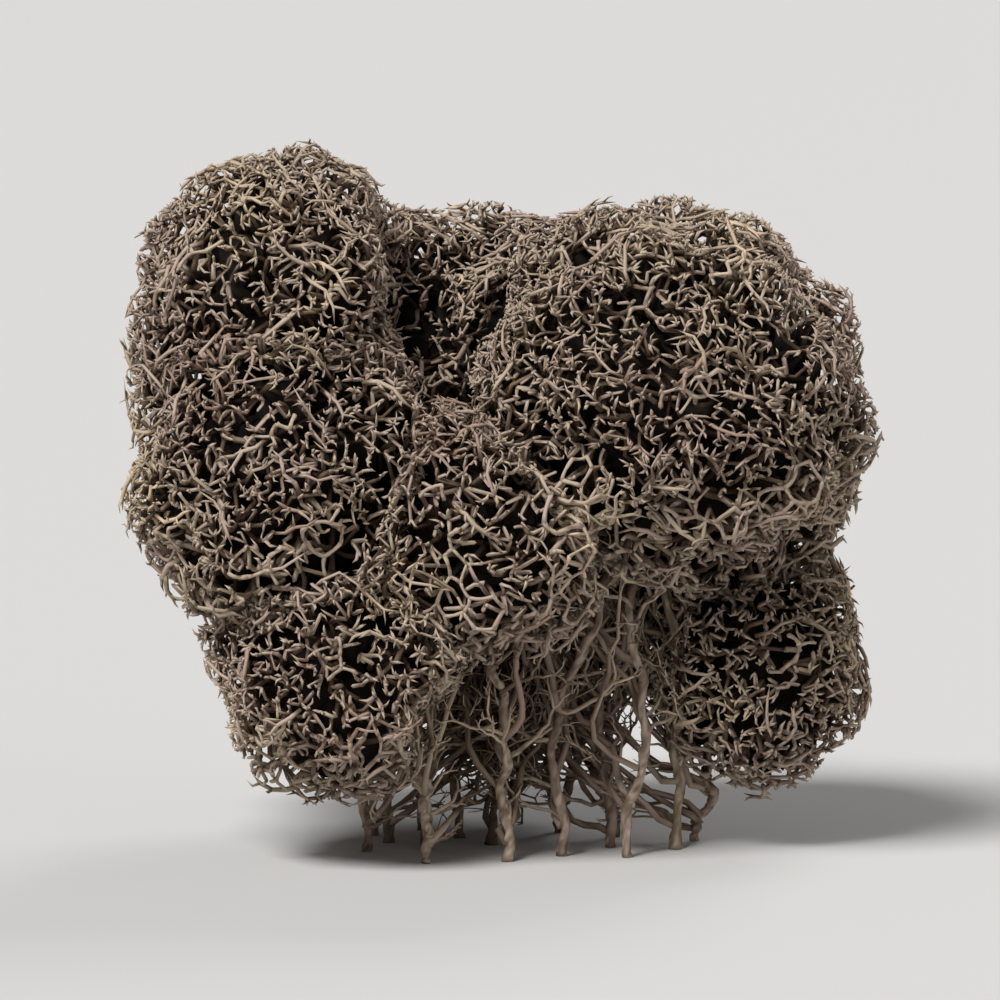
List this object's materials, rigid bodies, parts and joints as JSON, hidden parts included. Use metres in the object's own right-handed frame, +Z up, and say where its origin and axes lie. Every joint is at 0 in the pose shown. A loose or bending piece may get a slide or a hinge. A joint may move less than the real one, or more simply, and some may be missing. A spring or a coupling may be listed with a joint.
{
  "type": "reindeer moss clump",
  "caption": "Clump of dried, dyed reindeer moss: bare forking stems carry dense rounded heads of finely forked twigs, and it stands upright on its cut stem ends.",
  "frame": {"origin": "the flat cut foot of the clump's middle stem, on the surface that the clump stands on", "axes": "+Z up, the way the heads grow; +X to the right of the clump's front, along its width; -Y faces the viewer of the picture"},
  "size_m": [0.0679, 0.0526, 0.064],
  "materials": {
    "lichen": "matte, fibrous"
  },
  "bodies": {
    "root": {"podetium_front_dome": "lichen", "podetium_middle": "lichen", "podetium_upper_left": "lichen", "podetium_mid_left": "lichen", "podetium_low_left": "lichen", "podetium_top": "lichen", "podetium_right_back": "lichen", "podetium_left_back": "lichen", "podetium_low_back": "lichen", "podetium_low_right": "lichen"}
  },
  "joints": []
}
